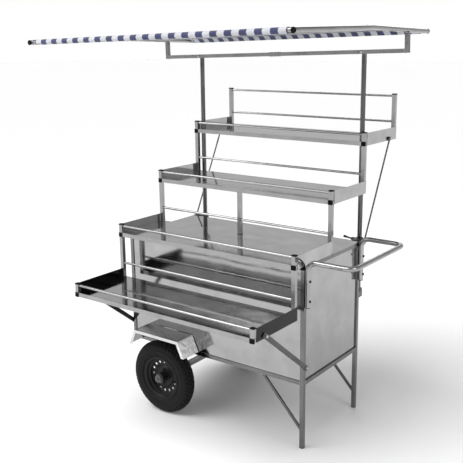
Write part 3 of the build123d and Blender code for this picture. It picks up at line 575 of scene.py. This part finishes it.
ACROSS = 168              # quads across the cloth
CLOTH_T = 0.0009
path = cloth_path()
points = [cloth_point(-1 + 2 * i / ACROSS, *row) for row in path for i in range(ACROSS + 1)]
faces = []
for r in range(len(path) - 1):
    for i in range(ACROSS):
        a = r * (ACROSS + 1) + i
        faces.append((a, a + 1, a + ACROSS + 2, a + ACROSS + 1))
cloth = piece("canopy_fabric", [leaned(p) for p in points], faces, "canopy_cloth", "canopy")
skin = cloth.modifiers.new("thickness", "SOLIDIFY")
skin.thickness = CLOTH_T
skin.offset = 0.0
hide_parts("canopy_cloth")


STITCH_HALF = 0.0016      # half of a stitch's length
THREAD_W = 0.00045        # half of its width
THREAD_H = 0.00035        # half of its height
STITCH_STEP = 0.005
ON_CLOTH = 0.0007         # height of a stitch above the middle of the cloth
HEM_SEAM = 0.982          # where a side hem is sewn, as a share of half the cloth's width
HEM_OUT, HEM_IN = 0.998, 0.972            # where a side hem ends, as such shares
HEM_TOP, HEM_BOTTOM = 0.0007, 0.0016      # how far its faces lie under the middle of the cloth
HEM_CORNERS = (HEM_OUT, HEM_TOP), (HEM_IN, HEM_TOP), (HEM_IN, HEM_BOTTOM), (HEM_OUT, HEM_BOTTOM)


def thread_rows():
    """Lockstitches through the cloth along both sleeves and both side hems."""
    points, faces = [], []
    up = Vector((0, 0, 1))

    def stitch(centre, along):
        side = along.cross(up) * THREAD_W
        for end in (-STITCH_HALF, STITCH_HALF):
            for a, b in ((-1, -1), (1, -1), (1, 1), (-1, 1)):
                points.append(centre + along * end + side * a + up * (THREAD_H * b))
        base = len(points) - 8
        faces.extend(((base, base + 1, base + 2, base + 3), (base + 7, base + 6, base + 5, base + 4)))
        for k in range(4):
            m = (k + 1) % 4
            faces.append((base + k, base + 4 + k, base + 4 + m, base + m))

    spans = [row for row in path if row[2]]
    for y_line in (FRONT[0] + SLEEVE, BACK[0] - SLEEVE):
        row = min(spans, key=lambda s: abs(s[0] - y_line))
        steps = int(2 * CLOTH_HALF / STITCH_STEP) - 2
        for i in range(steps):
            share = -1 + 2 * (i + 1.5) / (steps + 2)
            stitch(cloth_point(share, *row) + up * ON_CLOTH, Vector((1, 0, 0)))
    for share in (-HEM_SEAM, HEM_SEAM):
        for first, second in zip(spans, spans[1:]):
            if second[0] - first[0] > 0.03:
                continue
            start, end = cloth_point(share, *first), cloth_point(share, *second)
            count = max(1, int((end - start).length / STITCH_STEP))
            for i in range(count):
                spot = start.lerp(end, (i + 0.5) / count)
                stitch(spot + up * ON_CLOTH, (end - start).normalized())
    return [leaned(p) for p in points], faces


def side_hems():
    """Folded strips under both side edges of the cloth."""
    points, faces = [], []
    spans = [row for row in path if row[2]]
    for sign in (-1, 1):
        first = len(points)
        for row in spans:
            for share, drop in HEM_CORNERS:
                points.append(cloth_point(sign * share, *row) - Vector((0, 0, drop)))
        ends = len(spans)
        quads = ring_faces(ends, 4, first)
        quads.append(tuple(first + k for k in range(4)))
        quads.append(tuple(first + (ends - 1) * 4 + k for k in (3, 2, 1, 0)))
        faces += quads
    return [leaned(p) for p in points], faces


stitches = piece("canopy_stitches", *thread_rows(), "canopy_cloth", "canopy", smooth=False)
hems = piece("canopy_hems", *side_hems(), "canopy_cloth", "canopy", smooth=False)


# ------------------------------------------------------------------ weld beads
def islands(node, lean):
    """Boxes of a node's separate solids, as (low, high), taken level when they lean."""
    work = bmesh.new()
    work.from_mesh(NODES[node].data)
    bmesh.ops.remove_doubles(work, verts=work.verts, dist=NEAR)
    seen, boxes = set(), []
    for start in work.verts:
        if start in seen:
            continue
        stack, members = [start], []
        seen.add(start)
        while stack:
            vert = stack.pop()
            members.append(levelled(vert.co) if lean else vert.co)
            for edge in vert.link_edges:
                other = edge.other_vert(vert)
                if other not in seen:
                    seen.add(other)
                    stack.append(other)
        boxes.append(corners(members))
    work.free()
    return boxes


BEAD_R = 0.0015
BEAD_STEP = 0.0022
BEAD_REACH = 0.0012       # largest gap that a bead bridges
WIDEST_TUBE = 0.03        # wider solids aren't tubes and get no bead


def inside(spot, low, high):
    """Whether a point is in a box or touches it."""
    return all(low[k] - NEAR < spot[k] < high[k] + NEAR for k in range(3))


def bead_loop(outline, points, faces):
    """Rippled bead along a closed outline of (point, outward direction, tube axis)."""
    first, sides = len(points), 6
    for i, (spot, out, axis) in enumerate(outline):
        swell = BEAD_R * (1.0 + 0.22 * math.sin(i * 2.1) + random.uniform(-0.08, 0.08))
        for k in range(sides):
            angle = math.tau * k / sides
            points.append(spot + (out * math.cos(angle) + axis * math.sin(angle)) * swell)
    faces += ring_faces(len(outline), sides, first, closed=True)


def square_outline(centre, axis, half_a, half_b):
    """Closed outline round a square tube's end."""
    a = Vector((0, 1, 0)) if abs(axis.x) > 0.5 else Vector((1, 0, 0))
    b = axis.cross(a)
    found = []
    for first, second, run, out in ((-1, 1, a, -b), (1, 1, b, a), (1, -1, -a, b), (-1, -1, -b, -a)):
        size, depth = (half_a, half_b) if run in (a, -a) else (half_b, half_a)
        steps = max(3, round(2 * size / BEAD_STEP))
        for i in range(steps):
            along = -size + 2 * size * (i + 0.5) / steps
            found.append((centre + run * along + out * depth, out, axis))
    return found


def round_outline(centre, axis, radius):
    """Closed outline round a pipe's end."""
    a = Vector((0, 1, 0)) if abs(axis.x) > 0.5 else Vector((1, 0, 0))
    b = axis.cross(a)
    steps = max(10, round(math.tau * radius / BEAD_STEP))
    found = []
    for i in range(steps):
        angle = math.tau * i / steps
        out = a * math.cos(angle) + b * math.sin(angle)
        found.append((centre + out * radius, out, axis))
    return found


def weld_beads(name, body, square, round_nodes, metal_nodes, lean=False):
    """A bead round each tube end that meets another piece of metal."""
    boxes = {node: islands(node, lean) for node in dict.fromkeys(square + round_nodes + metal_nodes)}
    everything = [pair for pairs in boxes.values() for pair in pairs]
    points, faces = [], []
    for node in square + round_nodes:
        for low, high in boxes[node]:
            size = high - low
            run = max(range(3), key=lambda k: size[k])
            others = [k for k in range(3) if k != run]
            if max(size[k] for k in others) > WIDEST_TUBE:
                continue
            for sign, end in ((-1, low), (1, high)):
                centre = (low + high) / 2
                centre[run] = end[run]
                probe = centre.copy()
                probe[run] += sign * BEAD_REACH
                if not any(inside(probe, *box) for box in everything):
                    continue
                axis = Vector([1.0 if k == run else 0.0 for k in range(3)])
                half_a, half_b = size[others[0]] / 2, size[others[1]] / 2
                if node in round_nodes:
                    bead_loop(round_outline(centre, axis, half_a), points, faces)
                else:
                    bead_loop(square_outline(centre, axis, half_a, half_b), points, faces)
    if lean:
        points = [leaned(p) for p in points]
    return piece(name, points, faces, "stainless_tube", body)


TRAYS = [f"tray_{n}_frame" for n in range(4)]
weld_beads("weld_beads_cart", "base", ["cart_frame", "riser_posts", "centre_post", *TRAYS],
           ["front_guard_rails", "back_rails"], ["rear_guard", "table_top", "axle_hangers"])
weld_beads("weld_beads_canopy", "canopy", ["canopy_crossbar"],
           ["canopy_cross_pipes"], ["canopy_side_pipes"], lean=True)

# ------------------------------------------------------------------ floor, light, camera
FLOOR_HALF = 60.0
FLOOR_CORNERS = [(x * FLOOR_HALF, y * FLOOR_HALF, 0) for x, y in ((-1, -1), (1, -1), (1, 1), (-1, 1))]
floor_mesh = bpy.data.meshes.new("floor")
floor_mesh.from_pydata(FLOOR_CORNERS, [], [(0, 1, 2, 3)])
floor = bpy.data.objects.new("floor", floor_mesh)
bpy.context.scene.collection.objects.link(floor)
floor_paint, _, floor_shader = new_material("floor")
floor_shader.inputs["Base Color"].default_value = (*grey(0.86), 1)
floor_shader.inputs["Roughness"].default_value = 0.9
floor_shader.inputs["Specular IOR Level"].default_value = 0.1
floor_mesh.materials.append(floor_paint)

world = bpy.data.worlds.new("studio")
bpy.context.scene.world = world
world.use_nodes = True
sky = world.node_tree
for node in list(sky.nodes):
    sky.nodes.remove(node)
place = add(sky, "ShaderNodeTexCoord")
split = add(sky, "ShaderNodeSeparateXYZ")
sky.links.new(place.outputs["Generated"], split.inputs["Vector"])
# Grey levels round the cart, from the horizon and below (0) to straight up (1).
ramp = add(sky, "ShaderNodeValToRGB")
stops = ramp.color_ramp.elements
stops[0].position, stops[0].color = 0.0, (*grey(0.50), 1)
stops[1].position, stops[1].color = 1.0, (*grey(0.62), 1)
for position, level in ((0.30, 0.72), (0.55, 0.22)):
    stops.new(position).color = (*grey(level), 1)
sky.links.new(split.outputs["Z"], ramp.inputs["Fac"])
# Seen directly, the backdrop is white.
seen = add(sky, "ShaderNodeBackground", Strength=1.0)
seen.inputs["Color"].default_value = (*grey(1.0), 1)
around = add(sky, "ShaderNodeBackground", Strength=1.0)
sky.links.new(ramp.outputs["Color"], around.inputs["Color"])
rays = add(sky, "ShaderNodeLightPath")
choose = add(sky, "ShaderNodeMixShader")
sky.links.new(rays.outputs["Is Camera Ray"], choose.inputs["Fac"])
sky.links.new(around.outputs["Background"], choose.inputs[1])
sky.links.new(seen.outputs["Background"], choose.inputs[2])
ending = add(sky, "ShaderNodeOutputWorld")
sky.links.new(choose.outputs["Shader"], ending.inputs["Surface"])


def aimed(obj, spot, target):
    obj.location = spot
    obj.rotation_euler = (Vector(target) - Vector(spot)).to_track_quat("-Z", "Y").to_euler()


def light(name, kind, power, spot, target, size=None, angle=None):
    data = bpy.data.lights.new(name, kind)
    data.energy = power
    if kind == "AREA":
        data.shape = "RECTANGLE"
        data.size, data.size_y = size
    if angle:
        data.angle = math.radians(angle)
    made = bpy.data.objects.new(name, data)
    bpy.context.scene.collection.objects.link(made)
    aimed(made, spot, target)
    made.visible_camera = False


light("sun", "SUN", 2.6, (-2.0, -3.0, 6.0), (0, 0, 0), angle=50)
light("key", "AREA", 50, (-3.0, -3.2, 3.6), (0, 0, 0.9), size=(2.6, 2.0))
light("side", "AREA", 32, (4.0, -0.6, 2.8), (0, 0, 0.9), size=(1.6, 2.4))
light("back", "AREA", 28, (-1.5, 3.6, 3.2), (0, 0, 1.0), size=(3.0, 1.4))

lens = bpy.data.cameras.new("camera")
lens.sensor_width = 36.0
lens.lens = 59.9
lens.shift_x = -0.0224
lens.shift_y = -0.0288
camera = bpy.data.objects.new("camera", lens)
bpy.context.scene.collection.objects.link(camera)
SPOT = Vector((2.3237, -3.1701, 1.9480))
YAW, PITCH, ROLL = 36.32, 13.0, -0.5
turned = Matrix.Rotation(math.radians(YAW), 4, "Z") @ Matrix.Rotation(math.radians(90 - PITCH), 4, "X")
rolled = turned @ Matrix.Rotation(math.radians(ROLL), 4, "Z")
camera.matrix_world = Matrix.Translation(SPOT) @ rolled
bpy.context.scene.camera = camera
bpy.context.scene.view_settings.view_transform = "Standard"
